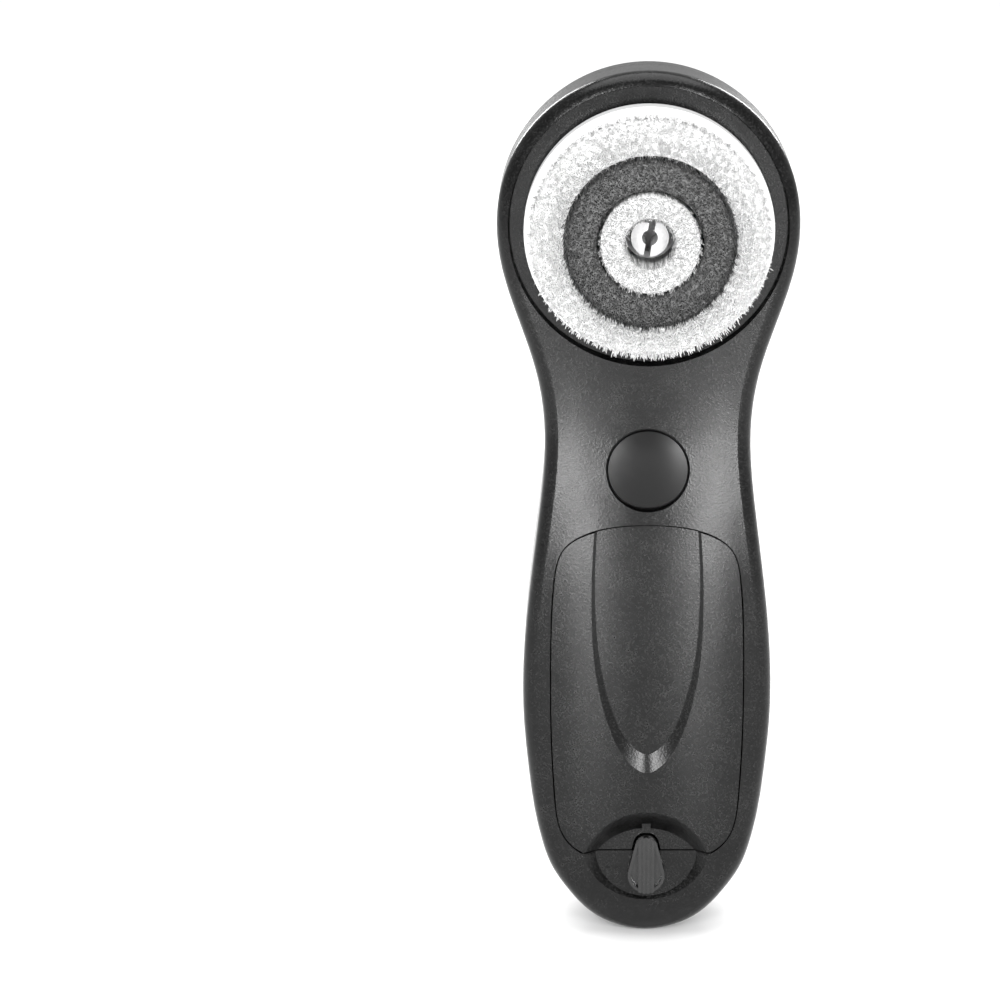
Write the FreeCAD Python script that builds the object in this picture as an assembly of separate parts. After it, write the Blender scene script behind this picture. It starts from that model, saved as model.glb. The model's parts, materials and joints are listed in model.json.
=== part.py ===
import FreeCAD, Part
import math
import os

# Battery-powered facial cleansing brush, in millimetres.
# +Z runs from the rounded lower end up to the head, the brush faces -Y and the body is
# symmetric about X = 0.  Heights are drawn from a datum under the handle; every part is
# lowered by LOWEST_Z at the end, so the origin is the lowest point of the handle.

V = FreeCAD.Vector
BACKWARD = V(0, 1, 0)
FORWARD = V(0, -1, 0)
UP = V(0, 0, 1)

# ---- driving dimensions of the body ------------------------------------------------
WALL = 2.2
SHELL_GAP = 0.1
REACH = 60.0
LOWEST_Z = 3.5
HEAD_Z = 158.4
HEAD_R = 31.1
# half of the outline seen from the front: (x, z) from the lowest point up to the head
HALF_OUTLINE = [(0, LOWEST_Z), (5.6, 4.6), (11.0, 7.6), (16.8, 14.1), (20.3, 19.8),
                (22.2, 25.4), (23.5, 31.1), (25.05, 42.3), (26.0, 53.4), (26.1, 62.0),
                (24.9, 79.0), (22.3, 100.0), (21.4, 113.0), (22.9, 126.0), (26.7, 138.0),
                (30.1, 149.0)]
HEAD_ANGLES = [0, 22.5, 45, 67.5, 90]
OUTLINE_SAMPLES = 56

# side profile: (z, y on the centre line, how far the crown falls back at CROWN_W)
CROWN_W = 36.0
CROWN_ROWS = 25
CROWN_COLUMNS = 3
RIM_SAMPLES = 24
TINY = 1e-6
FRONT_STATIONS = [(-1, -4.0, 14), (5, -9.8, 11), (13, -14.2, 9), (25, -16.9, 8),
                  (45, -18.3, 8), (65, -18.4, 8), (85, -17.4, 7), (100, -15.9, 6),
                  (115, -14.3, 5), (130, -13.6, 2.4), (145, -13.5, 1.2), (165, -13.5, 1.2),
                  (196, -12.6, 1.2)]
REAR_STATIONS = [(-1, 7.0, 18), (5, 12.4, 20), (13, 16.6, 21), (25, 19.4, 22),
                 (45, 20.6, 22), (65, 20.7, 22), (85, 19.6, 22), (100, 17.4, 20),
                 (115, 15.2, 16), (130, 14.0, 12), (145, 13.8, 10), (165, 13.2, 10),
                 (180, 11.4, 10), (196, 7.6, 10)]
FRONT_ROUND = 3.4
REAR_ROUND = 7.0
CAVITY_FRONT_ROUND = 2.0
CAVITY_REAR_ROUND = 5.0
GROOVE_OUT = 0.8
GROOVE_IN = 1.5
GROOVE_HALF = 0.5

# ---- brush axis, drive and gears ----------------------------------------------------
AXIS_Z = 158.0
DISH_R = 29.0
DISH_FLOOR_R = 28.4
DISH_FLOOR_Y = -10.8
DISH_MOUTH_Y = -14.0
DISH_BACK_Y = -8.6
DISH_BACK_R = 31.0
SEAL_R = 5.2
RUNNING_FIT = 0.05

MODULE = 0.6
BACKLASH = 0.12
# depth and height of a tooth in modules; its half widths there as shares of pi modules
TOOTH_ROOT = 1.2
TOOTH_TIP = 0.85
ROOT_SHARE = 0.31
TIP_SHARE = 0.14
OUTPUT_TEETH = 54
SMALL_TEETH = 12
CROWN_TEETH = 36
PINION_TEETH = 10
OUTPUT_PITCH_R = MODULE * OUTPUT_TEETH / 2
SMALL_PITCH_R = MODULE * SMALL_TEETH / 2
PINION_PITCH_R = MODULE * PINION_TEETH / 2
CROWN_Z = AXIS_Z - OUTPUT_PITCH_R - SMALL_PITCH_R
OUTPUT_Y = (-6.2, -3.2)
SMALL_Y = (-6.3, -2.6)
CROWN_Y = (-2.6, -1.35)
CROWN_TOOTH_TIP_Y = -0.2
CROWN_MESH_Y = -0.6
MOTOR_Y = CROWN_MESH_Y + PINION_PITCH_R
COVER_Y = (-8.2, -6.8)
FRAME_Y = (6.8, 8.2)
AXLE_R = 1.0
SPINDLE_R = 3.0
SPINDLE_REAR_R = 2.0
SPINDLE_HEAD_R = 3.8
SPINDLE_TIP_Y = -25.0
SPINDLE_SHOULDER_Y = -11.2
GEARBOX_POSTS = [(-14.5, 137.0), (14.5, 137.0), (0.0, 178.4)]
HEAD_SCREWS = [(-17.2, 172.4), (17.2, 172.4), (-21.4, 149.0), (21.4, 149.0)]

MOTOR_R = 10.0
MOTOR_FLAT = 7.55
MOTOR_Z = (98.5, 123.5)
MOTOR_CAP_Z = 96.5
PINION_Z = (126.6, 128.4)

# ---- brush head -----------------------------------------------------------------------
BASE_R = 25.4
BASE_Y = (-13.2, -19.0)
BRUSH_BORE_R = SPINDLE_HEAD_R + RUNNING_FIT
BRISTLE_FOOT_Y = -19.1
INNER_BRISTLES = (4.7, 10.4)
DARK_BRISTLES = (10.6, 17.0)
OUTER_BRISTLES = (17.2, 24.2)
BRISTLE_TIP_Y = -33.5
OUTER_TIP_Y = (-31.2, -26.2)

# ---- power button ----------------------------------------------------------------------
BUTTON_Z = 107.4
BUTTON_R = 8.2
BUTTON_HOLE_R = 8.7
BUTTON_FACE_Y = -15.3
BUTTON_BACK_Y = -13.3
BUTTON_STEM_R = 2.2
SWITCH_FRONT_Y = -10.6
PLUNGER_TIP_Y = -11.3
BOARD_Y = (-7.2, -5.9)
BOARD_Z = (98.8, 121.5)

# ---- battery compartment -----------------------------------------------------------------
CELL_R = 7.25
CELL_LENGTH = 49.5
NUB_R = 2.75
NUB_LENGTH = 1.0
CELL_X = 7.45
CELL_ROWS = (7.5, -7.2)
BAY_Z = (29.6, 87.8)
BAY_SILL = (-9.2, 34.2)
BAY_WALL = 1.2
BAY_INNER_X = 15.1
BAY_BACK = 0.8
BAY_FRONT_Y = -11.6

# ---- battery door and turn latch -----------------------------------------------------------
DOOR_HALF = [(13.7, 23.8), (17.6, 27.6), (19.4, 36.0), (20.1, 50.0), (20.1, 72.0),
             (19.4, 84.0), (17.5, 90.4), (12.8, 93.8), (0.0, 95.9)]
DOOR_SEAM = 0.15
LEDGE_INSET = 1.5
# half outline of the thumb scallop on the plane SCALLOP_Y; its walls lean in with depth
SCALLOP_HALF = [(0.0, 43.4), (3.2, 45.0), (8.2, 53.2), (11.0, 62.6), (12.35, 71.5),
                (13.05, 81.0), (13.4, 89.0), (13.4, 99.0)]
SCALLOP_Y = -18.0
SCALLOP_RISE = 3.9
SCALLOP_DRAFT = 0.08
SCALLOP_DEPTH = 0.5
SCALLOP_TILT = 0.7
LATCH_Z = 20.0
POCKET_Z = 23.2
# half width, rise and drop of the pocket's floor, and how fast its walls lean outwards
POCKET_FLOOR = (10.8, 5.5, 9.8)
POCKET_LEAN = 1.2
POCKET_MOUTH_Y = -19.0
POCKET_FLOOR_Y = -13.6
POCKET_BACK_Y = -11.4
KNOB_STEM_R = 2.0

# ---- small fixed sizes ----------------------------------------------------------------------
TOUCH = 0.02
LINER_GAP = 0.3
SCALLOP_RUN = 4.0
SCALLOP_TOP_Y = -16.3
SCALLOP_TOP_Z = 97.0
LEDGE_DEPTH = (3.0, 4.2)
GASKET_DEPTH = (2.3, 2.9)
GASKET_INSET = (0.4, 1.4)
GASKET_LOW_Z = 34.0
DOOR_RIB_INSET = 1.9
DOOR_RIB_DEPTH = 3.6
NOTCH_GAP = 0.35
POINTER_X = (-0.9, 0.9)
POINTER_Z = (28.1, 30.2)
POINTER_Y = -15.0
MARK_XS = (-8.2, -6.4)
MARK_W = 0.8
MARK_Z = (17.6, 19.9)
MARK_HIGH = 0.2
SCREW_R = 0.9
SCREW_CORE_R = 0.8
SCREW_HEAD_R = 1.9
SCREW_HEAD = 1.1
SCREW_SLOT = 0.5
BOSS_R = 2.6
HEAD_SCREW_LENGTH = 12.0
PAD_R = 2.0
FRAME_PADS = [(-8.0, 166.0), (8.0, 166.0), (-12.0, 131.0), (12.0, 131.0)]

KNOB_FOOT_R = 3.9
KNOB_FOOT_Z = 18.7
KNOB_NOSE_R = 2.4
KNOB_NOSE_Z = 25.0
KNOB_BACK_Y = -13.9
KNOB_PLATE_Y = -14.5
KNOB_RIM_Y = -15.6
KNOB_RIM = 0.6
KNOB_BAR = 3.4
KNOB_BAR_Y = -16.3
GROOVE_XS = (-0.9, 0.0, 0.9)
GROOVE_W = 0.35
GROOVE_DEEP = 0.4
LATCH_SCREW_R = 0.8
LATCH_SEAL_R = 3.6
LATCH_SEAL_Y = -10.6
CAM_Y = (-10.4, -9.0)
CAM_R = 3.4
CAM_TOE = 2.6
CAM_REACH = 5.4

BUTTON_DOME_R = 60.0
BUTTON_TRAVEL = 0.6
BOOT_GAP = 0.15
BOOT_R = 9.8
BOOT_RIM_R = 9.0
BOOT_Y = (-11.6, -11.1)
PLUNGER_R = 1.7
PLUNGER_DEEP = 1.0
SWITCH_SIDE = 6.0
BOARD_HALF_X = 14.6
BOARD_POSTS = [(-12.6, 101.5), (12.6, 101.5), (-12.6, 118.8), (12.6, 118.8)]
BOARD_POST_R = 1.6
BOARD_SCREW_LENGTH = 3.0
BOARD_HOLE_Z = 100.6
BOARD_CHIP_X = (-9.0, -5.2)
BOARD_CHIP_Z = (112.0, 117.0)
BOARD_CHIP_T = 1.2
BOARD_CAP_XS = (5.6, 9.0)
BOARD_CAP_Z = 115.0
BOARD_CAP_R = 1.5
BOARD_CAP_H = 3.0

SPINDLE_STEP_Y = 6.4
SPINDLE_FLAT = 3.1
SPINDLE_FLAT_Y = -13.0
SPLIT_HALF = 0.65
SPLIT_END_Y = -15.5
SPLIT_HOLE_R = 1.6
SPLIT_LEAN = 10.0
GEAR_HUB_R = 4.6
GEAR_WEB_R = 14.2
GEAR_WEB_DEEP = 1.2
CLIP_R = 4.3
CLIP_T = 0.6
CLIP_OPEN = 1.3
CROWN_R = 11.6
CROWN_TOOTH_R = 10.2
CROWN_TOOTH_HALF = (0.36, 0.15)
CROWN_HUB_R = 2.4
CROWN_HUB_Y = 1.0
AXLE_BORE_R = AXLE_R + RUNNING_FIT
PINION_PHASE = 0.0
MOTOR_BOSS_R = 3.0
MOTOR_BOSS = 1.6
TAG_HALF = 1.2
TAG_T = 0.25
TAG_LENGTH = 2.0
FLANGE_X = 10.0
FLANGE_FRONT_Y = -4.8
FLANGE_Z = (123.5, 125.1)
MOTOR_SCREW_X = 6.5
POST_R = 1.9
BUSH_REAR_R = 3.8
BUSH_FRONT_R = 4.8
GEARBOX_SCREW_Y = -2.0
FRAME_OUTLINE = [(-17, 125.1), (17, 125.1), (17, 142), (4, 182), (-4, 182), (-17, 142)]
COVER_OUTLINE = [(-17, 132), (17, 132), (17, 142), (4, 182), (-4, 182), (-17, 142)]

HUB_R = 6.6
BASE_WEB_Y = -16.6
BASE_RIM = 2.4
BASE_EDGE = 0.6

CONTACT_X = 13.5
CONTACT_Y = 2.2
CONTACT_T = 0.4
PLATE_Z = (BAY_Z[0] + BAY_WALL + CONTACT_T, BAY_Z[1] - BAY_WALL - CONTACT_T)
SPRING_LENGTH = PLATE_Z[1] - PLATE_Z[0] - CELL_LENGTH - NUB_LENGTH
CELL_ROUND = 0.8
SPRING_WIRE = 0.35
SPRING_R = 3.2
SPRING_TURNS = 2.5
LEAD_R = 0.6
LEAD_X = 5.5
LEAD_OUT = 3.5
LEAD_BEND = 1.5
LEAD_FRONT_Y = -4.2


# ---- helpers ---------------------------------------------------------------------------------
def rod(x, z, radius, y_from, y_to):
    """Round bar along Y between two depths."""
    start = min(y_from, y_to)
    return Part.makeCylinder(radius, abs(y_to - y_from), V(x, start, z), BACKWARD)


def ring(x, z, inner, outer, y_from, y_to):
    """Plain ring along Y."""
    return rod(x, z, outer, y_from, y_to).cut(rod(x, z, inner, y_from, y_to))


def block(x, y, z):
    """Box from three (low, high) pairs."""
    size = (x[1] - x[0], y[1] - y[0], z[1] - z[0])
    return Part.makeBox(*size, V(x[0], y[0], z[0]))


def flat_prism(points, y_from, y_to):
    """Prism along Y over a polygon of (x, z) points."""
    corners = [V(x, y_from, z) for x, z in points]
    face = Part.Face(Part.makePolygon(corners + corners[:1]))
    return face.extrude(V(0, y_to - y_from, 0))


def mirrored(half):
    """Close a half outline about X = 0, whichever of its ends lie on the axis."""
    left = [(-x, z) for x, z in reversed(half) if x != 0]
    return list(half) + left


def spline_loop(points, inset=0.0):
    """Closed smooth curve in the XZ plane, moved inwards by inset."""
    curve = Part.BSplineCurve()
    curve.interpolate([V(x, 0, z) for x, z in points], PeriodicFlag=True)
    if inset == 0:
        return curve
    first, last = curve.FirstParameter, curve.LastParameter
    moved = []
    for i in range(OUTLINE_SAMPLES):
        u = first + (last - first) * i / OUTLINE_SAMPLES
        inward = curve.tangent(u)[0].cross(BACKWARD)
        moved.append(curve.value(u) + inward * inset)
    smaller = Part.BSplineCurve()
    smaller.interpolate(moved, PeriodicFlag=True)
    return smaller


def curve_prism(curve, y_from, y_to):
    """Prism along Y over a closed curve drawn in the XZ plane."""
    face = Part.Face(Part.Wire(curve.toShape()))
    face.translate(V(0, y_from, 0))
    return face.extrude(V(0, y_to - y_from, 0))


def body_outline(inset=0.0):
    """Front outline of the whole body."""
    head = []
    for angle in HEAD_ANGLES:
        a = math.radians(angle)
        head.append((HEAD_R * math.cos(a), HEAD_Z + HEAD_R * math.sin(a)))
    head[-1] = (0, HEAD_Z + HEAD_R)
    return spline_loop(mirrored(HALF_OUTLINE + head), inset)


def along(stations, z, column):
    """Smooth value of one column of a station table at height z."""
    last = len(stations) - 1
    k = max(i for i in range(last) if stations[i][0] <= z + TINY)

    def slope(i):
        low, high = stations[max(i - 1, 0)], stations[min(i + 1, last)]
        return (high[column] - low[column]) / (high[0] - low[0])

    span = stations[k + 1][0] - stations[k][0]
    t = (z - stations[k][0]) / span
    start, end = stations[k][column], stations[k + 1][column]
    return (start * (2 * t ** 3 - 3 * t ** 2 + 1) + end * (3 * t ** 2 - 2 * t ** 3)
            + slope(k) * span * (t ** 3 - 2 * t ** 2 + t)
            + slope(k + 1) * span * (t ** 3 - t ** 2))


def crown(stations, direction, inset):
    """Everything behind a crowned surface; direction is +1 for the front, -1 for the rear."""
    low, high = stations[0][0], stations[-1][0]
    rows = []
    for i in range(CROWN_ROWS + 1):
        z = low + (high - low) * i / CROWN_ROWS
        middle = along(stations, z, 1) + direction * inset
        fall = along(stations, z, 2)
        row = []
        for j in range(-CROWN_COLUMNS, CROWN_COLUMNS + 1):
            across = j / CROWN_COLUMNS
            row.append(V(CROWN_W * across, middle + direction * fall * across ** 2, z))
        rows.append(row)
    surface = Part.BSplineSurface()
    surface.interpolate(rows)
    return surface.toShape().extrude(V(0, direction * REACH, 0))


def rim_edges(solid, direction):
    """Edges of a body blank's front rim (+1) or rear rim (-1)."""
    rim = []
    for edge in solid.Edges:
        if all(point.y * direction < 0 for point in edge.discretize(RIM_SAMPLES)):
            rim.append(edge)
    return rim


def body_blank(inset, front_round, rear_round):
    """Solid body, drawn in by inset on every side, with rounded rims."""
    blank = curve_prism(body_outline(inset), -REACH / 2, REACH / 2)
    blank = blank.common(crown(FRONT_STATIONS, 1, inset))
    blank = blank.common(crown(REAR_STATIONS, -1, inset))
    blank = blank.Solids[0]
    blank = blank.makeFillet(front_round, rim_edges(blank, 1))
    blank = blank.makeFillet(rear_round, rim_edges(blank, -1))
    return blank


def tube(points, radius, bend):
    """Round wire along straight runs joined by arcs of one radius."""
    corners = [V(*p) for p in points]
    edges = []
    start = corners[0]
    for before, corner, after in zip(corners, corners[1:], corners[2:]):
        into = (corner - before).normalize()
        out = (after - corner).normalize()
        turn = into.getAngle(out)
        setback = bend * math.tan(turn / 2)
        arc_in = corner - into * setback
        arc_out = corner + out * setback
        to_centre = (out - into).normalize()
        middle = corner + to_centre * (bend / math.cos(turn / 2) - bend)
        edges.append(Part.LineSegment(start, arc_in).toShape())
        edges.append(Part.Arc(arc_in, middle, arc_out).toShape())
        start = arc_out
    edges.append(Part.LineSegment(start, corners[-1]).toShape())
    direction = corners[1] - corners[0]
    section = Part.Wire(Part.makeCircle(radius, corners[0], direction))
    return Part.Wire(edges).makePipeShell([section], True, True)


def teeth_face(teeth, pitch_r, y, phase):
    """Gear section in the XZ plane at depth y, with slim tapered teeth."""
    pitch = 2 * math.pi / teeth
    root = pitch_r - TOOTH_ROOT * MODULE
    tip = pitch_r + TOOTH_TIP * MODULE
    half_root = (math.pi * MODULE * ROOT_SHARE - BACKLASH / 2) / pitch_r
    half_tip = (math.pi * MODULE * TIP_SHARE - BACKLASH / 2) / pitch_r
    points = []
    for i in range(teeth):
        middle = phase + i * pitch
        for radius, angle in ((root, middle - half_root), (tip, middle - half_tip),
                              (tip, middle + half_tip), (root, middle + half_root)):
            points.append(V(radius * math.cos(angle), y, radius * math.sin(angle)))
    return Part.Face(Part.makePolygon(points + points[:1]))


def spur_gear(teeth, pitch_r, y_pair, phase, bore):
    """Spur gear on the Y axis."""
    gear = teeth_face(teeth, pitch_r, y_pair[0], phase).extrude(V(0, y_pair[1] - y_pair[0], 0))
    return gear.cut(rod(0, 0, bore, *y_pair))


# ---- casing ------------------------------------------------------------------------------------
OUTER = body_blank(0.0, FRONT_ROUND, REAR_ROUND)
CAVITY = body_blank(WALL, CAVITY_FRONT_ROUND, CAVITY_REAR_ROUND)
LINER = body_blank(WALL + LINER_GAP, CAVITY_FRONT_ROUND, CAVITY_REAR_ROUND)
MIDWALL = body_blank(WALL / 2, FRONT_ROUND - WALL / 2, REAR_ROUND - WALL / 2)
HOLLOW = Part.makeSolid(Part.makeCompound([OUTER.Shells[0], CAVITY.Shells[0].reversed()]))


def in_front_skin(shape, depths):
    """Part of a shape that lies between two depths below the front surface."""
    near, far = depths
    return shape.common(crown(FRONT_STATIONS, 1, near)).cut(crown(FRONT_STATIONS, 1, far))


def door_prism(inset, y_from=-REACH / 2, y_to=0.0):
    """Prism over the outline of the battery door."""
    half = [(x - inset if x else 0.0, z) for x, z in DOOR_HALF]
    half[0] = (half[0][0], half[0][1] + inset)
    half[-2] = (half[-2][0], half[-2][1] - inset)
    half[-1] = (0.0, half[-1][1] - inset)
    points = [V(x, y_from, z) for x, z in mirrored(half)]
    side = Part.BSplineCurve()
    side.interpolate(points)
    bottom = Part.LineSegment(points[-1], points[0])
    face = Part.Face(Part.Wire([side.toShape(), bottom.toShape()]))
    return face.extrude(V(0, y_to - y_from, 0))


def almond(grow, y):
    """Outline of the latch pocket at depth y: two arcs that meet in a tip on each side."""
    half, rise, drop = [size + grow for size in POCKET_FLOOR]
    left, right = V(-half, y, POCKET_Z), V(half, y, POCKET_Z)
    upper = Part.Arc(left, V(0, y, POCKET_Z + rise), right)
    lower = Part.Arc(right, V(0, y, POCKET_Z - drop), left)
    return Part.Wire([upper.toShape(), lower.toShape()])


def latch_pocket():
    """Hollow of the latch pocket, whose walls lean outwards from a flat floor."""
    mouth = almond(POCKET_LEAN * (POCKET_FLOOR_Y - POCKET_MOUTH_Y), POCKET_MOUTH_Y)
    return Part.makeLoft([mouth, almond(0, POCKET_FLOOR_Y)], True, True)


def pocket_bowl(margin=WALL):
    """Material that backs the latch pocket."""
    mouth = almond(margin + POCKET_LEAN * (POCKET_FLOOR_Y - POCKET_MOUTH_Y), POCKET_MOUTH_Y)
    return Part.makeLoft([mouth, almond(margin, POCKET_BACK_Y)], True, True).common(MIDWALL)


def pocket_marks():
    """Two short raised marks on the pocket's floor, where the knob's nose points when undone."""
    return [block((x - MARK_W / 2, x + MARK_W / 2),
                  (POCKET_FLOOR_Y - MARK_HIGH, POCKET_FLOOR_Y + WALL / 2), MARK_Z)
            for x in MARK_XS]


def brush_dish():
    """Shallow dish in the head that the brush turns in."""
    depth = DISH_FLOOR_Y - DISH_MOUTH_Y
    dish = Part.makeCone(DISH_R, DISH_FLOOR_R, depth, V(0, DISH_MOUTH_Y, AXIS_Z), BACKWARD)
    return dish


def seam_ring():
    """Closed strip on the parting plane that holds the shell gasket."""
    outside = curve_prism(body_outline(GROOVE_OUT), -GROOVE_HALF, GROOVE_HALF)
    return outside.cut(curve_prism(body_outline(GROOVE_IN), -GROOVE_HALF, GROOVE_HALF))


def front_shell():
    before_seam = block((-REACH, REACH), (-REACH, -SHELL_GAP / 2), (-REACH, 4 * REACH))
    ledge = door_prism(-LEDGE_INSET).cut(door_prism(LEDGE_INSET)).common(MIDWALL)
    ledge = ledge.cut(pocket_bowl(WALL + LINER_GAP))
    bowl = pocket_bowl().cut(door_prism(-DOOR_SEAM))
    head_floor = rod(0, AXIS_Z, DISH_BACK_R, -REACH, DISH_BACK_Y).common(MIDWALL)
    shell = HOLLOW.common(before_seam)
    posts = [rod(x, z, BOARD_POST_R, -REACH, BOARD_Y[0]).common(MIDWALL)
             for x, z in BOARD_POSTS]
    ledge = in_front_skin(ledge, (WALL / 2, LEDGE_DEPTH[1]))
    shell = shell.fuse([head_floor, bowl, ledge] + posts)
    openings = [door_prism(-DOOR_SEAM).cut(crown(FRONT_STATIONS, 1, LEDGE_DEPTH[0])),
                door_prism(LEDGE_INSET),
                brush_dish(),
                latch_pocket(),
                rod(0, AXIS_Z, SEAL_R, -REACH, 0),
                rod(0, BUTTON_Z, BUTTON_HOLE_R, -REACH, 0),
                rod(0, LATCH_Z, KNOB_STEM_R + RUNNING_FIT, -REACH, 0),
                seam_ring()]
    openings += [rod(x, z, SCREW_R, -REACH, 0) for x, z in HEAD_SCREWS]
    openings += [rod(x, z, SCREW_CORE_R, BOARD_Y[0] - BOARD_SCREW_LENGTH, 0)
                 for x, z in BOARD_POSTS]
    return shell.cut(openings).fuse(pocket_marks())


def rear_shell():
    behind_seam = block((-REACH, REACH), (SHELL_GAP / 2, REACH), (-REACH, 4 * REACH))
    shell = HOLLOW.common(behind_seam)
    bosses = []
    holes = [seam_ring()]
    for x, z in HEAD_SCREWS:
        bosses.append(rod(x, z, BOSS_R, DISH_BACK_Y + LINER_GAP, REACH).common(MIDWALL))
        holes.append(rod(x, z, SCREW_R, -REACH, DISH_FLOOR_Y + HEAD_SCREW_LENGTH))
    for x, z in FRAME_PADS:
        bosses.append(rod(x, z, PAD_R, FRAME_Y[1], REACH).common(MIDWALL))
    return shell.fuse(bosses).cut(holes)


def screw(x, y, z, length):
    """Pan head screw pointing along +Y with its head under y."""
    body = rod(x, z, SCREW_HEAD_R, y - SCREW_HEAD, y).fuse(rod(x, z, SCREW_R, y, y + length))
    slot = block((x - SCREW_R, x + SCREW_R), (y - SCREW_HEAD, y - SCREW_HEAD / 2),
                 (z - SCREW_SLOT / 2, z + SCREW_SLOT / 2))
    return body.cut(slot)


def head_screws():
    return Part.makeCompound([screw(x, DISH_FLOOR_Y, z, HEAD_SCREW_LENGTH)
                              for x, z in HEAD_SCREWS])


# ---- battery door ----------------------------------------------------------------------------
def scallop_outline(depth):
    """Shield outline of the scallop, drawn in and raised with depth."""
    narrow = 1 - SCALLOP_DRAFT * depth
    half = [V(x * narrow, SCALLOP_Y + depth, z + SCALLOP_RISE * depth) for x, z in SCALLOP_HALF]
    left = [V(-point.x, point.y, point.z) for point in reversed(half[1:])]
    side = Part.BSplineCurve()
    side.interpolate(left + half)
    top = Part.LineSegment(half[-1], left[0])
    return Part.Wire([side.toShape(), top.toShape()])


def scallop():
    """Thumb scallop: a leaning shield outline cut down to a tilted floor."""
    outlines = [scallop_outline(-SCALLOP_RUN), scallop_outline(SCALLOP_RUN)]
    floor = crown(FRONT_STATIONS, 1, SCALLOP_DEPTH)
    floor.rotate(V(0, SCALLOP_TOP_Y, SCALLOP_TOP_Z), V(1, 0, 0), SCALLOP_TILT)
    return Part.makeLoft(outlines, True, True).cut(floor)


def battery_door():
    skin = HOLLOW.common(door_prism(DOOR_SEAM))
    stiffener = door_prism(DOOR_RIB_INSET).cut(door_prism(DOOR_RIB_INSET + WALL / 2))
    bowl = pocket_bowl().common(door_prism(DOOR_SEAM))
    pointer = block(POINTER_X, (POINTER_Y, POCKET_FLOOR_Y + WALL / 2), POINTER_Z)
    door = skin.fuse([in_front_skin(stiffener, (WALL / 2, DOOR_RIB_DEPTH)), bowl])
    door = door.cut([latch_pocket(), scallop(), teardrop(NOTCH_GAP, -REACH, 0)])
    return door.fuse(pointer)


def door_gasket():
    seal = door_prism(GASKET_INSET[0]).cut(door_prism(GASKET_INSET[1]))
    seal = in_front_skin(seal, GASKET_DEPTH)
    return seal.cut(block((-REACH, REACH), (-REACH, 0), (0, GASKET_LOW_Z)))


# ---- turn latch -------------------------------------------------------------------------------
def teardrop(grow, y_from, y_to):
    """Knob outline: a wide round foot drawn up to a narrow round nose."""
    foot = KNOB_FOOT_R + grow
    nose = KNOB_NOSE_R + grow
    rise = KNOB_NOSE_Z - KNOB_FOOT_Z
    lean = math.asin((KNOB_FOOT_R - KNOB_NOSE_R) / rise)
    cos_lean, sin_lean = math.cos(lean), math.sin(lean)
    low = V(foot * cos_lean, y_from, KNOB_FOOT_Z + foot * sin_lean)
    high = V(nose * cos_lean, y_from, KNOB_NOSE_Z + nose * sin_lean)
    low_left, high_left = V(-low.x, y_from, low.z), V(-high.x, y_from, high.z)
    edges = [Part.LineSegment(low, high),
             Part.Arc(high, V(0, y_from, KNOB_NOSE_Z + nose), high_left),
             Part.LineSegment(high_left, low_left),
             Part.Arc(low_left, V(0, y_from, KNOB_FOOT_Z - foot), low)]
    face = Part.Face(Part.Wire([edge.toShape() for edge in edges]))
    return face.extrude(V(0, y_to - y_from, 0))


def latch_knob():
    knob = teardrop(0, KNOB_BACK_Y, KNOB_RIM_Y)
    knob = knob.cut(teardrop(-KNOB_RIM, KNOB_PLATE_Y, KNOB_RIM_Y))
    bar = block((-KNOB_BAR / 2, KNOB_BAR / 2), (KNOB_BAR_Y, KNOB_PLATE_Y),
                (KNOB_FOOT_Z - KNOB_FOOT_R + TOUCH, KNOB_NOSE_Z + KNOB_NOSE_R - TOUCH))
    bar = bar.common(teardrop(-TOUCH, KNOB_BAR_Y, KNOB_PLATE_Y))
    for x in GROOVE_XS:
        bar = bar.cut(block((x - GROOVE_W / 2, x + GROOVE_W / 2),
                            (KNOB_BAR_Y, KNOB_BAR_Y + GROOVE_DEEP), (0, REACH)))
    stem = ring(0, LATCH_Z, LATCH_SCREW_R, KNOB_STEM_R, KNOB_BACK_Y, CAM_Y[1])
    return knob.fuse(bar).fuse(stem)


def latch_seal():
    return ring(0, LATCH_Z, KNOB_STEM_R + RUNNING_FIT, LATCH_SEAL_R, POCKET_BACK_Y, LATCH_SEAL_Y)


def latch_cam():
    """Detent cam behind the pocket wall, clamped to the knob's stem."""
    cam = rod(0, LATCH_Z, CAM_R, *CAM_Y)
    cam = cam.fuse(block((-CAM_TOE / 2, CAM_TOE / 2), CAM_Y, (LATCH_Z, LATCH_Z + CAM_REACH)))
    return cam.cut(rod(0, LATCH_Z, KNOB_STEM_R, *CAM_Y))


def latch_screw():
    head = rod(0, LATCH_Z, SCREW_HEAD_R, CAM_Y[1], CAM_Y[1] + SCREW_HEAD)
    return head.fuse(rod(0, LATCH_Z, LATCH_SCREW_R, KNOB_BACK_Y, CAM_Y[1]))


# ---- power button -------------------------------------------------------------------------------
def power_button():
    cap = rod(0, BUTTON_Z, BUTTON_R, BUTTON_FACE_Y, BUTTON_BACK_Y)
    dome = Part.makeSphere(BUTTON_DOME_R, V(0, BUTTON_FACE_Y + BUTTON_DOME_R, BUTTON_Z))
    cap = cap.common(dome)
    stem = rod(0, BUTTON_Z, BUTTON_STEM_R, BUTTON_BACK_Y, PLUNGER_TIP_Y)
    return cap.fuse(stem)


def button_boot():
    """Rubber diaphragm that seals the button's stem, with a rim against the shell."""
    rim = ring(0, BUTTON_Z, BOOT_RIM_R, BOOT_R, -REACH, BOOT_Y[1]).common(LINER)
    return rim.fuse(ring(0, BUTTON_Z, BUTTON_STEM_R + BOOT_GAP, BOOT_R, *BOOT_Y))


def switch_plunger():
    return rod(0, BUTTON_Z, PLUNGER_R, PLUNGER_TIP_Y, SWITCH_FRONT_Y + PLUNGER_DEEP)


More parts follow.
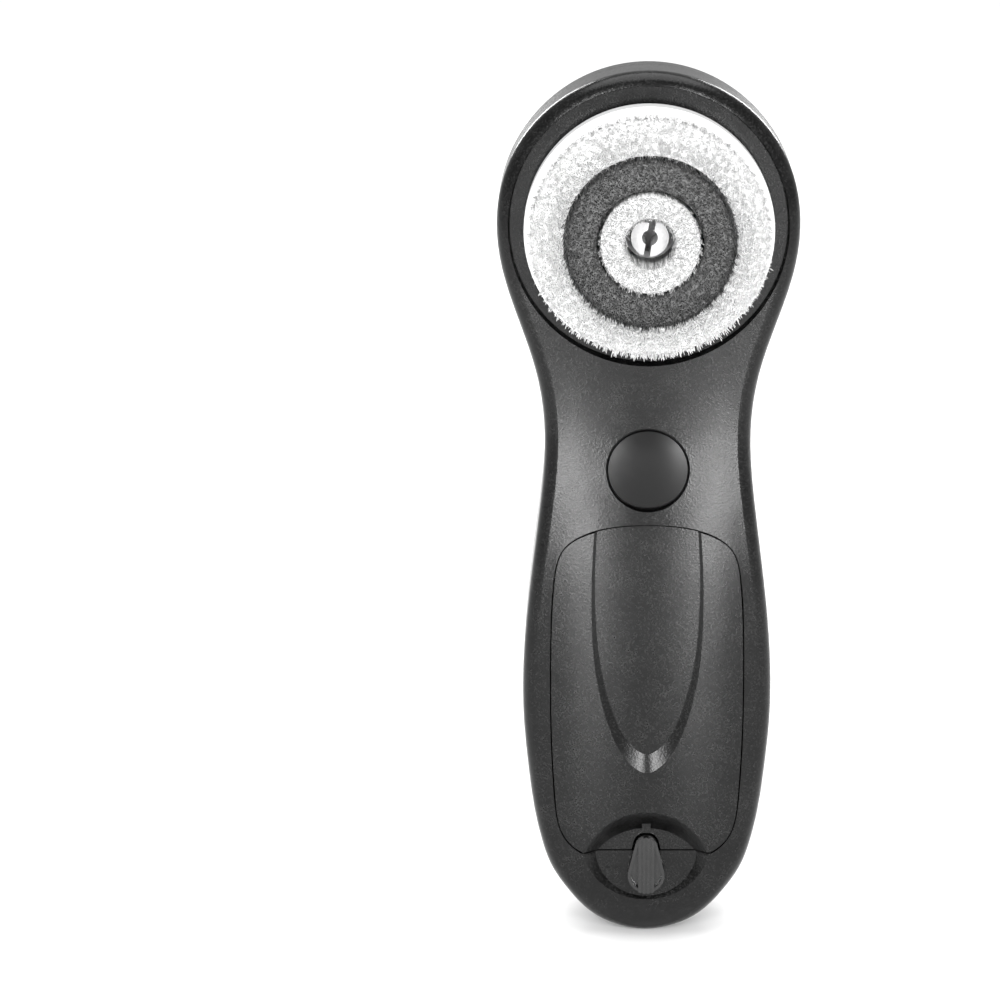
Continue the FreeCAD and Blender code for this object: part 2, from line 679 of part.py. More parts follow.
def tact_switch():
    half = SWITCH_SIDE / 2
    body = block((-half, half), (SWITCH_FRONT_Y, BOARD_Y[0]), (BUTTON_Z - half, BUTTON_Z + half))
    travel_room = SWITCH_FRONT_Y + PLUNGER_DEEP + BUTTON_TRAVEL + BOOT_GAP
    return body.cut(rod(0, BUTTON_Z, PLUNGER_R + RUNNING_FIT, SWITCH_FRONT_Y, travel_room))


def circuit_board():
    board = block((-BOARD_HALF_X, BOARD_HALF_X), BOARD_Y, BOARD_Z)
    holes = [rod(x, BOARD_HOLE_Z, LEAD_R + RUNNING_FIT, *BOARD_Y)
             for x in (-LEAD_X - LEAD_OUT, LEAD_X + LEAD_OUT)]
    holes += [rod(x, z, SCREW_CORE_R, *BOARD_Y) for x, z in BOARD_POSTS]
    return board.cut(holes)


def board_screws():
    """Pan head screws behind the board, driven forwards into the shell's posts."""
    screws = []
    for x, z in BOARD_POSTS:
        head = rod(x, z, SCREW_HEAD_R, BOARD_Y[1], BOARD_Y[1] + SCREW_HEAD)
        shank = rod(x, z, SCREW_CORE_R, BOARD_Y[0] - BOARD_SCREW_LENGTH, BOARD_Y[1])
        screws.append(head.fuse(shank))
    return Part.makeCompound(screws)


def board_parts():
    """Components soldered to the front of the board: a controller and two capacitors."""
    parts = [block(BOARD_CHIP_X, (BOARD_Y[0] - BOARD_CHIP_T, BOARD_Y[0]), BOARD_CHIP_Z)]
    for x in BOARD_CAP_XS:
        parts.append(rod(x, BOARD_CAP_Z, BOARD_CAP_R, BOARD_Y[0] - BOARD_CAP_H, BOARD_Y[0]))
    return Part.makeCompound(parts)


# ---- drive -----------------------------------------------------------------------------------------
def placed(shape, z):
    shape.translate(V(0, 0, z))
    return shape


def drive_spindle():
    """Brush spindle: rear journal, gear seat, and a split hollow snap end."""
    spindle = rod(0, 0, SPINDLE_REAR_R, FRAME_Y[1], SPINDLE_STEP_Y)
    spindle = spindle.fuse(rod(0, 0, SPINDLE_R, SPINDLE_STEP_Y, SPINDLE_SHOULDER_Y))
    nose = rod(0, 0, SPINDLE_HEAD_R, SPINDLE_SHOULDER_Y, SPINDLE_TIP_Y)
    nose = nose.cut(Part.makeCone(SPINDLE_HEAD_R, SPINDLE_HEAD_R + REACH, REACH,
                                  V(0, SPINDLE_TIP_Y, 0), FORWARD))
    flat = block((-REACH, REACH), (SPINDLE_TIP_Y, SPINDLE_FLAT_Y), (SPINDLE_FLAT, REACH))
    nose = nose.cut(flat)
    slot = block((-SPLIT_HALF, SPLIT_HALF), (SPINDLE_TIP_Y, SPLIT_END_Y), (-REACH, REACH))
    slot.rotate(V(0, 0, 0), BACKWARD, SPLIT_LEAN)
    nose = nose.cut(slot).cut(rod(0, 0, SPLIT_HOLE_R, SPINDLE_TIP_Y, SPLIT_END_Y))
    return placed(spindle.fuse(nose), AXIS_Z)


def output_gear():
    gear = spur_gear(OUTPUT_TEETH, OUTPUT_PITCH_R, OUTPUT_Y, -math.pi / 2, SPINDLE_R)
    web = ring(0, 0, GEAR_HUB_R, GEAR_WEB_R, OUTPUT_Y[0], OUTPUT_Y[0] + GEAR_WEB_DEEP)
    return placed(gear.cut(web), AXIS_Z)


def spindle_clip():
    clip = ring(0, 0, SPINDLE_R, CLIP_R, OUTPUT_Y[1], OUTPUT_Y[1] + CLIP_T)
    return placed(clip.cut(block((-CLIP_OPEN, CLIP_OPEN), (-REACH, 0), (0, REACH))), AXIS_Z)


def crown_gear():
    """Two-stage gear: small spur gear in front of a disc with crown teeth behind it."""
    pitch = 2 * math.pi / SMALL_TEETH
    gear = spur_gear(SMALL_TEETH, SMALL_PITCH_R, SMALL_Y, math.pi / 2 + pitch / 2, AXLE_BORE_R)
    gear = gear.fuse(ring(0, 0, AXLE_BORE_R, CROWN_R, *CROWN_Y))
    gear = gear.fuse(ring(0, 0, AXLE_BORE_R, CROWN_HUB_R, CROWN_Y[1], CROWN_HUB_Y))
    teeth = []
    for i in range(CROWN_TEETH):
        foot, tip = CROWN_TOOTH_HALF
        tooth = Part.Face(Part.makePolygon([
            V(-foot, CROWN_Y[1], -CROWN_TOOTH_R), V(foot, CROWN_Y[1], -CROWN_TOOTH_R),
            V(tip, CROWN_TOOTH_TIP_Y, -CROWN_TOOTH_R), V(-tip, CROWN_TOOTH_TIP_Y, -CROWN_TOOTH_R),
            V(-foot, CROWN_Y[1], -CROWN_TOOTH_R)])).extrude(V(0, 0, CROWN_TOOTH_R - CROWN_R))
        tooth.rotate(V(0, 0, 0), BACKWARD, 360 * (i + 0.5) / CROWN_TEETH)
        teeth.append(tooth)
    return placed(gear.fuse(teeth), CROWN_Z)


def gear_axle():
    return placed(rod(0, 0, AXLE_R, COVER_Y[0], FRAME_Y[1]), CROWN_Z)


def motor_pinion():
    gear = teeth_face(PINION_TEETH, PINION_PITCH_R, 0, math.pi / 2)
    gear = gear.extrude(V(0, PINION_Z[0] - PINION_Z[1], 0)).cut(rod(0, 0, AXLE_R, -REACH, REACH))
    gear.rotate(V(0, 0, 0), V(1, 0, 0), -90)
    gear.rotate(V(0, 0, 0), UP, PINION_PHASE)
    gear.translate(V(0, MOTOR_Y, PINION_Z[0]))
    return gear


def motor_shaft():
    length = PINION_Z[1] - MOTOR_CAP_Z
    return Part.makeCylinder(AXLE_R, length, V(0, MOTOR_Y, MOTOR_CAP_Z), UP)


def flat_can(z_from, z_to):
    """Round motor section with two flats."""
    can = Part.makeCylinder(MOTOR_R, z_to - z_from, V(0, MOTOR_Y, z_from), UP)
    return can.common(block((-MOTOR_R, MOTOR_R), (MOTOR_Y - MOTOR_FLAT, MOTOR_Y + MOTOR_FLAT),
                            (z_from, z_to)))


def shaft_hole(radius):
    return Part.makeCylinder(radius, 4 * REACH, V(0, MOTOR_Y, 0), UP)


def motor_can():
    can = flat_can(MOTOR_Z[0], MOTOR_Z[1])
    boss = Part.makeCylinder(MOTOR_BOSS_R, MOTOR_BOSS, V(0, MOTOR_Y, MOTOR_Z[1]), UP)
    return can.fuse(boss).cut(shaft_hole(AXLE_R + RUNNING_FIT))


def motor_end_cap():
    cap = flat_can(MOTOR_CAP_Z, MOTOR_Z[0]).cut(shaft_hole(AXLE_R + RUNNING_FIT))
    for x in (-LEAD_X, LEAD_X):
        cap = cap.cut(motor_tag(x))
    return cap


def motor_tag(x):
    """Flat solder tag in the motor's end cap."""
    return block((x - TAG_HALF, x + TAG_HALF), (MOTOR_Y - TAG_T, MOTOR_Y + TAG_T),
                 (MOTOR_CAP_Z - TAG_LENGTH, MOTOR_Z[0]))


def motor_tags():
    return Part.makeCompound([motor_tag(x) for x in (-LEAD_X, LEAD_X)])


def gear_frame():
    """Rear gearbox plate with the motor flange and three posts."""
    frame = flat_prism(FRAME_OUTLINE, *FRAME_Y)
    flange = block((-FLANGE_X, FLANGE_X), (FLANGE_FRONT_Y, FRAME_Y[1]), FLANGE_Z)
    frame = frame.fuse(flange)
    for x, z in GEARBOX_POSTS:
        frame = frame.fuse(rod(x, z, POST_R, COVER_Y[1], FRAME_Y[1]))
        frame = frame.cut(rod(x, z, SCREW_CORE_R, COVER_Y[1], 0))
    frame = frame.cut(upright(0, MOTOR_BOSS_R + RUNNING_FIT, *FLANGE_Z))
    frame = frame.cut(rod(0, AXIS_Z, BUSH_REAR_R, *FRAME_Y))
    for x in (-MOTOR_SCREW_X, MOTOR_SCREW_X):
        frame = frame.cut(upright(x, SCREW_CORE_R, FLANGE_Z[0], FLANGE_Z[1]))
    return frame.cut(rod(0, CROWN_Z, AXLE_R, *FRAME_Y))


def upright(x, radius, z_from, z_to):
    """Vertical bar in the motor's middle plane."""
    return Part.makeCylinder(radius, z_to - z_from, V(x, MOTOR_Y, z_from), UP)


def gear_cover():
    cover = flat_prism(COVER_OUTLINE, *COVER_Y)
    cover = cover.cut(rod(0, AXIS_Z, BUSH_FRONT_R, *COVER_Y))
    for x, z in GEARBOX_POSTS:
        cover = cover.cut(rod(x, z, SCREW_CORE_R, *COVER_Y))
    return cover.cut(rod(0, CROWN_Z, AXLE_R, *COVER_Y))


def gearbox_screws():
    """Countersunk screws that hold the cover on the frame's posts."""
    screws = []
    for x, z in GEARBOX_POSTS:
        screws.append(rod(x, z, SCREW_CORE_R, COVER_Y[0], GEARBOX_SCREW_Y))
    return Part.makeCompound(screws)


def motor_screws():
    screws = []
    for x in (-MOTOR_SCREW_X, MOTOR_SCREW_X):
        head = upright(x, SCREW_HEAD_R, FLANGE_Z[1], FLANGE_Z[1] + SCREW_HEAD)
        screws.append(head.fuse(upright(x, SCREW_CORE_R, FLANGE_Z[0], FLANGE_Z[1])))
    return Part.makeCompound(screws)


def front_bush():
    return ring(0, AXIS_Z, SPINDLE_R + RUNNING_FIT, BUSH_FRONT_R, *COVER_Y)


def rear_bush():
    return ring(0, AXIS_Z, SPINDLE_REAR_R + RUNNING_FIT, BUSH_REAR_R, *FRAME_Y)


def spindle_seal():
    return ring(0, AXIS_Z, SPINDLE_R + RUNNING_FIT, SEAL_R, DISH_FLOOR_Y, DISH_BACK_Y)


# ---- brush head --------------------------------------------------------------------------------------
def brush_base():
    """Dished carrier with a rounded rim, a hub and a keyed socket."""
    half = [V(BRUSH_BORE_R, BASE_Y[0], 0), V(HUB_R, BASE_Y[0], 0), V(HUB_R, BASE_WEB_Y, 0),
            V(BASE_R - BASE_RIM, BASE_WEB_Y, 0), V(BASE_R - BASE_RIM, BASE_Y[0], 0),
            V(BASE_R - BASE_EDGE, BASE_Y[0], 0), V(BASE_R, BASE_Y[0] - BASE_EDGE, 0),
            V(BASE_R, BASE_Y[1] + BASE_EDGE, 0), V(BASE_R - BASE_EDGE, BASE_Y[1], 0),
            V(BRUSH_BORE_R, BASE_Y[1], 0)]
    profile = Part.Face(Part.makePolygon(half + half[:1]))
    base = profile.revolve(V(0, 0, 0), BACKWARD, 360)
    key = block((-REACH, REACH), (BASE_Y[1], BASE_Y[0]), (SPINDLE_FLAT + RUNNING_FIT, REACH))
    key = key.common(rod(0, 0, BRUSH_BORE_R, *BASE_Y))
    return placed(base.fuse(key), AXIS_Z)


def bristle_ring(radii, tips):
    """Ring of bristles from the base to straight or sloping tips."""
    half = [V(radii[0], BRISTLE_FOOT_Y, 0), V(radii[1], BRISTLE_FOOT_Y, 0),
            V(radii[1], tips[1], 0), V(radii[0], tips[0], 0)]
    profile = Part.Face(Part.makePolygon(half + half[:1]))
    return placed(profile.revolve(V(0, 0, 0), BACKWARD, 360), AXIS_Z)


def inner_bristles():
    return bristle_ring(INNER_BRISTLES, (BRISTLE_TIP_Y, BRISTLE_TIP_Y))


def dark_bristles():
    return bristle_ring(DARK_BRISTLES, (BRISTLE_TIP_Y, BRISTLE_TIP_Y))


def outer_bristles():
    return bristle_ring(OUTER_BRISTLES, OUTER_TIP_Y)


# ---- batteries and wiring ----------------------------------------------------------------------------
def battery_bay():
    """Open-fronted tray that holds the cells between two end walls."""
    half = BAY_INNER_X + BAY_WALL
    tray = LINER.common(block((-half, half), (BAY_FRONT_Y, REACH), BAY_Z))
    room = LINER.copy()
    room.translate(V(0, -BAY_BACK, 0))
    room = room.common(block((-BAY_INNER_X, BAY_INNER_X), (-REACH, REACH),
                             (BAY_Z[0] + BAY_WALL, BAY_Z[1] - BAY_WALL)))
    sill = block((-REACH, REACH), (-REACH, BAY_SILL[0]), (0, BAY_SILL[1]))
    return tray.cut([room, sill])


def battery_cell(x, y, upward):
    """AA cell whose nub touches the upper or the lower contact plate."""
    can_z = PLATE_Z[1] - NUB_LENGTH - CELL_LENGTH if upward else PLATE_Z[0] + NUB_LENGTH
    nub_z = PLATE_Z[1] - NUB_LENGTH if upward else PLATE_Z[0]
    can = Part.makeCylinder(CELL_R, CELL_LENGTH, V(x, y, can_z), UP)
    can = can.makeFillet(CELL_ROUND, [edge for edge in can.Edges if edge.Closed])
    return can.fuse(Part.makeCylinder(NUB_R, NUB_LENGTH, V(x, y, nub_z), UP))


def cell_contacts(z_from, z_to):
    """Pair of spring-steel plates, one behind each pair of cells."""
    plates = []
    for y in CELL_ROWS:
        plates.append(block((-CONTACT_X, CONTACT_X), (y - CONTACT_Y, y + CONTACT_Y),
                            (z_from, z_to)))
    return Part.makeCompound(plates)


def lower_contacts():
    return cell_contacts(PLATE_Z[0] - CONTACT_T, PLATE_Z[0])


def upper_contacts():
    return cell_contacts(PLATE_Z[1], PLATE_Z[1] + CONTACT_T)


def coil_spring():
    """Contact spring standing on the plane z = 0."""
    height = SPRING_LENGTH - 2 * SPRING_WIRE
    helix = Part.makeHelix(height / SPRING_TURNS, height, SPRING_R)
    section = Part.Wire(Part.makeCircle(SPRING_WIRE, V(SPRING_R, 0, 0), BACKWARD))
    spring = Part.Wire(helix.Edges).makePipeShell([section], True, True)
    spring.translate(V(0, 0, SPRING_WIRE))
    return spring


def contact_springs():
    springs = []
    for x, y, upward in CELLS.values():
        spring = coil_spring()
        if not upward:
            spring.rotate(V(0, 0, 0), BACKWARD, 180)
        spring.translate(V(x, y, PLATE_Z[0] if upward else PLATE_Z[1]))
        springs.append(spring)
    return Part.makeCompound(springs)


def motor_lead(x):
    """Insulated wire from a motor tag round to its hole in the circuit board."""
    tag_y = MOTOR_Y - TAG_T - LEAD_R
    low = MOTOR_CAP_Z - TAG_LENGTH
    hole_x = x + math.copysign(LEAD_OUT, x)
    return tube([(x, tag_y, MOTOR_CAP_Z - LEAD_R / 2), (x, tag_y, low),
                 (hole_x, LEAD_FRONT_Y, low), (hole_x, LEAD_FRONT_Y, BOARD_HOLE_Z),
                 (hole_x, BOARD_Y[0], BOARD_HOLE_Z)], LEAD_R, LEAD_BEND)


def battery_lead(x):
    """Insulated wire from the top of the battery bay to the lower edge of the board."""
    middle_y = (BOARD_Y[0] + BOARD_Y[1]) / 2
    return Part.makeCylinder(LEAD_R, BOARD_Z[0] - BAY_Z[1], V(x, middle_y, BAY_Z[1]), UP)


CELLS = {
    "battery_cell_1": (-CELL_X, CELL_ROWS[0], True),
    "battery_cell_2": (CELL_X, CELL_ROWS[0], False),
    "battery_cell_3": (-CELL_X, CELL_ROWS[1], False),
    "battery_cell_4": (CELL_X, CELL_ROWS[1], True),
}
BUILDERS = [front_shell, rear_shell, seam_ring, head_screws, battery_door, door_gasket,
            latch_knob, latch_seal, latch_cam, latch_screw, power_button, button_boot,
            switch_plunger, tact_switch, circuit_board, board_parts, board_screws, drive_spindle,
            output_gear, spindle_clip, crown_gear, gear_axle, motor_pinion, motor_shaft,
            motor_can, motor_end_cap, motor_tags, gear_frame, gear_cover, gearbox_screws,
            motor_screws, front_bush, rear_bush, spindle_seal, brush_base, inner_bristles,
            dark_bristles, outer_bristles, battery_bay, lower_contacts, upper_contacts,
            contact_springs]


def build_all():
    shapes = {builder.__name__: builder() for builder in BUILDERS}
    shapes["shell_gasket"] = shapes.pop("seam_ring")
    for side, x in (("red", LEAD_X), ("black", -LEAD_X)):
        shapes["motor_lead_" + side] = motor_lead(x)
        shapes["battery_lead_" + side] = battery_lead(x)
    for name, place in CELLS.items():
        shapes[name] = battery_cell(*place)
    return shapes


os.makedirs("parts", exist_ok=True)
for node, solid in build_all().items():
    solid.translate(V(0, 0, -LOWEST_Z))
    solid.exportStep("parts/%s.step" % node)
    print(node, solid.isValid(), len(solid.Solids), round(solid.Volume, 1))
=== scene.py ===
import json
import math
import random

import bpy
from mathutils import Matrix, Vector


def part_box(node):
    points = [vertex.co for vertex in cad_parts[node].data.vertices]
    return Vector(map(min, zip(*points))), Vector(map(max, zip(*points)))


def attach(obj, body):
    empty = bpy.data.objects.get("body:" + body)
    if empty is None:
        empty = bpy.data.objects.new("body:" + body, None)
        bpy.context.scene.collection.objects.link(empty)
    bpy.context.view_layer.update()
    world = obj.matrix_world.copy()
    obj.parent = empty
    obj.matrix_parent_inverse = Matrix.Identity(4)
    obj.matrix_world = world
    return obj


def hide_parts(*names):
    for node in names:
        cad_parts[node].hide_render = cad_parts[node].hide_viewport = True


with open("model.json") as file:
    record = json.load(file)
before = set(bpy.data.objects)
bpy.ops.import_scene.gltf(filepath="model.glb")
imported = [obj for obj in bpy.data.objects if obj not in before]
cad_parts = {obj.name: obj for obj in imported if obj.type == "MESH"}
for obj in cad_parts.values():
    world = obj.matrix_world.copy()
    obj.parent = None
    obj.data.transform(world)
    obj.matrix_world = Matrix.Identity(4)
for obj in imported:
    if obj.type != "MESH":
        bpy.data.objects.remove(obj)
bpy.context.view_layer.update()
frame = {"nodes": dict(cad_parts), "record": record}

MM = 0.001
rng = random.Random(20)

# ---- camera: the viewing angle of the photograph, slightly above the brush ----
CAMERA_PLACE = (-0.013, -0.735, 0.2865)
CAMERA_DOWN = 14.7
CAMERA_LENS = 129.5
CAMERA_SENSOR = 36
CAMERA_SHIFT_X = -0.085
CAMERA_CLIP = 0.01

# ---- studio: (place, size) of each softbox, in metres; all of them face BODY_MIDDLE ----
BODY_MIDDLE = (0, 0, 0.09)
SIDE_BOXES = {"left_box": (-0.30, -1.0, 0.30), "right_box": (0.30, -1.0, 0.30)}
SIDE_SIZE = (0.14, 0.70)
SIDE_POWER = 11.5
BACK_BOXES = {"back_left_box": (-0.45, 1.0, 0.55), "back_right_box": (0.45, 1.0, 0.55)}
BACK_SIZE = (0.2, 0.7)
BACK_POWER = 5
SKY_LIGHT = 2.6
SKY_ANGLE = 60.0
WORLD_LIGHT = 0.6
FLOOR_HALF = 20
FLOOR_GREY = 0.9
FLOOR_ROUGH = 0.15
FLOOR_GLOSS = 0.12

# ---- surfaces ----
BROAD_SCALE = 14
FINE_SHARE = 0.75
ROUGH_SWING = 0.04
COAT_ROUGH = 0.12
NOISE_ROUGH = 0.55
TRACK_SCALE = 260.0
TRACK_BEND = 2.5
TRACK_EDGES = (0.55, 0.62)

# ---- bristles, in millimetres ----
ROW_PITCH = 1.85
ROOT_SPREAD = 0.55
TIP_SPREAD = 1.05
TIP_SCATTER = 0.13
TIP_STRAY = 0.30
SIDE_STRAY = 0.12
TUFT_SIDES = 3
BEND_POWER = 1.6
# (share of the length, share of the radius) of the rings along a filament
FILAMENT_RINGS = ((0.0, 1.0), (0.6, 1.0), (0.93, 0.85), (1.0, 0.35))
FOOT_LIFT = 0.05
PACKING_STEPS = 8
PACKING_TURNS = 180
PACKING_DEEP = 1.2
PACKING_UNEVEN = 0.12
FILAMENT_GRAIN = 0.3
FILAMENT_STRETCH = (1, 0.02, 1)
FILAMENT_ROUGH = (0.42, 0.6)
FILAMENT_RELIEF = (0.12, 0.15, 0.005)
FILAMENT_SHEEN = 0.1
# rows of tufts (root radius, tip radius), tufts' filaments, their radius, the y of the tips
# at the inner and outer edge, and the radii of the packing
INNER_ZONE = ([(5.7, 5.7), (7.4, 7.4), (9.1, 9.2)], 70, 0.09, (-33.4, -33.4), (5.2, 9.9))
DARK_ZONE = ([(11.4, 11.6), (13.0, 13.4), (14.6, 15.1), (16.1, 16.5)], 52, 0.10,
             (-33.4, -33.2), (10.8, 16.6))
OUTER_ZONE = ([(18.0, 18.3), (19.7, 20.2), (21.4, 22.1), (22.9, 23.8)], 70, 0.09,
              (-31.4, -26.0), (17.4, 23.9))


# ---- node helpers ------------------------------------------------------------------------
def node(tree, kind, **inputs):
    """A shader node with some of its inputs set or linked."""
    made = tree.nodes.new(kind)
    for name, value in inputs.items():
        socket = made.inputs[name.replace("_", " ")]
        if isinstance(value, bpy.types.NodeSocket):
            tree.links.new(value, socket)
        else:
            socket.default_value = value
    return made


def place_vector(tree, scale=(1, 1, 1)):
    """Position on the object, stretched by scale."""
    coords = tree.nodes.new("ShaderNodeTexCoord")
    mapping = tree.nodes.new("ShaderNodeMapping")
    mapping.inputs["Scale"].default_value = scale
    tree.links.new(coords.outputs["Object"], mapping.inputs["Vector"])
    return mapping.outputs["Vector"]


def noise(tree, size_mm, detail=2.0, stretch=(1, 1, 1)):
    """Noise with features of about size_mm."""
    made = node(tree, "ShaderNodeTexNoise", Vector=place_vector(tree, stretch),
                Scale=1 / (size_mm * MM), Detail=detail, Roughness=NOISE_ROUGH)
    return made.outputs["Fac"]


def ramp(tree, fac, stops):
    """Colours between stops of (place, colour)."""
    made = node(tree, "ShaderNodeValToRGB", Fac=fac)
    elements = made.color_ramp.elements
    while len(elements) < len(stops):
        elements.new(0.5)
    for element, (place, colour) in zip(elements, stops):
        element.position = place
        element.color = (*colour, 1)
    return made.outputs["Color"]


def span(tree, fac, low, high):
    """fac, taken from 0..1 to low..high."""
    made = node(tree, "ShaderNodeMapRange", Value=fac)
    made.inputs["To Min"].default_value = low
    made.inputs["To Max"].default_value = high
    return made.outputs["Result"]


def bump(tree, height, strength, depth_mm):
    """Relief of depth_mm from a height."""
    made = node(tree, "ShaderNodeBump", Height=height, Strength=strength)
    made.inputs["Distance"].default_value = depth_mm * MM
    return made.outputs["Normal"]


def grey(value):
    """Neutral colour."""
    return (value, value, value)


def material(name, low, high, rough, grain_mm, depth_mm=0.01, strength=0.2, metallic=0.0,
             coat=0.0, detail=2.0, stretch=(1, 1, 1), gloss=0.5, edges=(0.3, 0.7)):
    """Moulded or plated surface whose colour, roughness and relief vary with a fine grain."""
    made = bpy.data.materials.new(name)
    made.use_nodes = True
    tree = made.node_tree
    shader = tree.nodes["Principled BSDF"]
    fine = noise(tree, grain_mm, detail, stretch)
    broad = noise(tree, grain_mm * BROAD_SCALE, 3.0)
    mixed = node(tree, "ShaderNodeMath", Value=fine)
    mixed.operation = "MULTIPLY_ADD"
    mixed.inputs[1].default_value = FINE_SHARE
    tree.links.new(span(tree, broad, 0.0, 1 - FINE_SHARE), mixed.inputs[2])
    colour = ramp(tree, mixed.outputs[0], [(edges[0], low), (edges[1], high)])
    tree.links.new(colour, shader.inputs["Base Color"])
    varied = span(tree, broad, rough - ROUGH_SWING, rough + ROUGH_SWING)
    tree.links.new(varied, shader.inputs["Roughness"])
    tree.links.new(bump(tree, fine, strength, depth_mm), shader.inputs["Normal"])
    shader.inputs["Metallic"].default_value = metallic
    shader.inputs["Coat Weight"].default_value = coat
    shader.inputs["Coat Roughness"].default_value = COAT_ROUGH
    shader.inputs["Specular IOR Level"].default_value = gloss
    return made


def laminate(name, low, high):
    """Green circuit board with tracks under its lacquer."""
    made = material(name, low, high, 0.35, 0.6, 0.01, 0.2)
    tree = made.node_tree
    shader = tree.nodes["Principled BSDF"]
    wave = node(tree, "ShaderNodeTexWave", Vector=place_vector(tree), Scale=TRACK_SCALE,
                Distortion=TRACK_BEND)
    tracks = ramp(tree, wave.outputs["Fac"], [(TRACK_EDGES[0], low), (TRACK_EDGES[1], high)])
    tree.links.new(tracks, shader.inputs["Base Color"])
    return made


SLOT_LOOKS = {
    "shell": material("pearl_shell", grey(0.0003), grey(0.012), 0.215, 0.40, 0.055, 0.6,
                      gloss=0.25, edges=(0.45, 0.70)),
    "door": material("pearl_door", grey(0.0003), grey(0.013), 0.22, 0.40, 0.055, 0.6,
                     gloss=0.25, edges=(0.45, 0.70)),
    "button": material("black_satin", grey(0.002), grey(0.004), 0.20, 0.5, 0.01, 0.12,
                       gloss=0.22),
    "latch": material("grey_satin", grey(0.006), grey(0.016), 0.18, 0.3, 0.01, 0.2),
    "seal": material("black_rubber", grey(0.008), grey(0.016), 0.6, 0.25, 0.01, 0.35),
    "white_plastic": material("white_moulding", grey(0.62), grey(0.68), 0.3, 0.8, 0.008, 0.12),
    "spindle_plastic": material("pale_acetal", grey(0.42), grey(0.52), 0.36, 0.4, 0.01, 0.2),
    "gear_plastic": material("natural_acetal", (0.62, 0.60, 0.52), (0.72, 0.70, 0.63), 0.35,
                             0.5, 0.01, 0.2),
    "brass": material("turned_brass", (0.55, 0.38, 0.13), (0.70, 0.52, 0.22), 0.28, 0.15, 0.006,
                      0.3, metallic=1.0, stretch=(1, 6, 1)),
    "steel": material("plated_steel", grey(0.45), grey(0.58), 0.27, 0.15, 0.006, 0.3,
                      metallic=1.0, stretch=(1, 6, 1)),
    "motor_body": material("plated_can", grey(0.42), grey(0.52), 0.33, 0.3, 0.01, 0.25,
                           metallic=1.0),
    "contact": material("nickel_plate", (0.58, 0.56, 0.52), (0.68, 0.66, 0.62), 0.22, 0.2,
                        0.006, 0.25, metallic=1.0),
    "frame_plastic": material("dark_moulding", grey(0.030), grey(0.050), 0.5, 0.3, 0.012, 0.3),
    "board": laminate("green_laminate", (0.010, 0.070, 0.028), (0.030, 0.160, 0.060)),
    "component": material("black_epoxy", grey(0.010), grey(0.020), 0.55, 0.25, 0.01, 0.3),
    "bay_plastic": material("black_moulding", grey(0.012), grey(0.022), 0.5, 0.3, 0.012, 0.3),
    "cell_jacket": material("cell_jacket", (0.10, 0.12, 0.15), (0.15, 0.17, 0.20), 0.25, 0.8,
                            0.006, 0.15, coat=0.4),
    "wire_red": material("red_insulation", (0.30, 0.010, 0.008), (0.40, 0.020, 0.015), 0.4, 0.3,
                         0.008, 0.2),
    "wire_black": material("black_insulation", grey(0.010), grey(0.018), 0.4, 0.3, 0.008, 0.2),
}


def dress_nodes():
    """Every CAD node takes the look of its material slot."""
    for part in frame["record"]["subparts"]:
        look = SLOT_LOOKS.get(part["material_slot"])
        if look:
            mesh = frame["nodes"][part["node"]].data
            mesh.materials.clear()
            mesh.materials.append(look)


# ---- bristles ----------------------------------------------------------------------------
def bristle_look(name, low, high):
    """Filaments that differ from one to the next and stay even along their length."""
    made = bpy.data.materials.new(name)
    made.use_nodes = True
    tree = made.node_tree
    shader = tree.nodes["Principled BSDF"]
    each = noise(tree, FILAMENT_GRAIN, 1.0, stretch=FILAMENT_STRETCH)
    tree.links.new(ramp(tree, each, [(0.4, low), (0.6, high)]), shader.inputs["Base Color"])
    tree.links.new(span(tree, each, *FILAMENT_ROUGH), shader.inputs["Roughness"])
    relief_mm, strength, depth_mm = FILAMENT_RELIEF
    relief = bump(tree, noise(tree, relief_mm, 1.0), strength, depth_mm)
    tree.links.new(relief, shader.inputs["Normal"])
    shader.inputs["Sheen Weight"].default_value = FILAMENT_SHEEN
    return made


def tufts(name, replaced, zone, look):
    """Rings of tufts standing on the brush base, one mesh per kind of bristle."""
    rows, count, radius, tip_depths, edges = zone
    axis_low, axis_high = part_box("brush_base")
    centre = (Vector(axis_low) + Vector(axis_high)) / 2 / MM
    foot_y = axis_low[1] / MM + FOOT_LIFT
    points, faces = [], []
    for row in rows:
        number = round(2 * math.pi * row[0] / ROW_PITCH)
        phase = rng.random()
        for i in range(number):
            turn = 2 * math.pi * (i + phase) / number
            for _ in range(count):
                root, lean, tip_y = strand(row, (rows[0][1], rows[-1][1]), tip_depths)
                filament(points, faces, centre, turn, foot_y, tip_y, root, lean, radius)
    packing(points, faces, centre, foot_y, edges, tip_depths)
    mesh = bpy.data.meshes.new(name)
    mesh.from_pydata(points, [], faces)
    mesh.materials.append(look)
    for polygon in mesh.polygons:
        polygon.use_smooth = True
    made = bpy.data.objects.new(name, mesh)
    bpy.context.scene.collection.objects.link(made)
    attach(made, "brush_head")
    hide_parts(replaced)


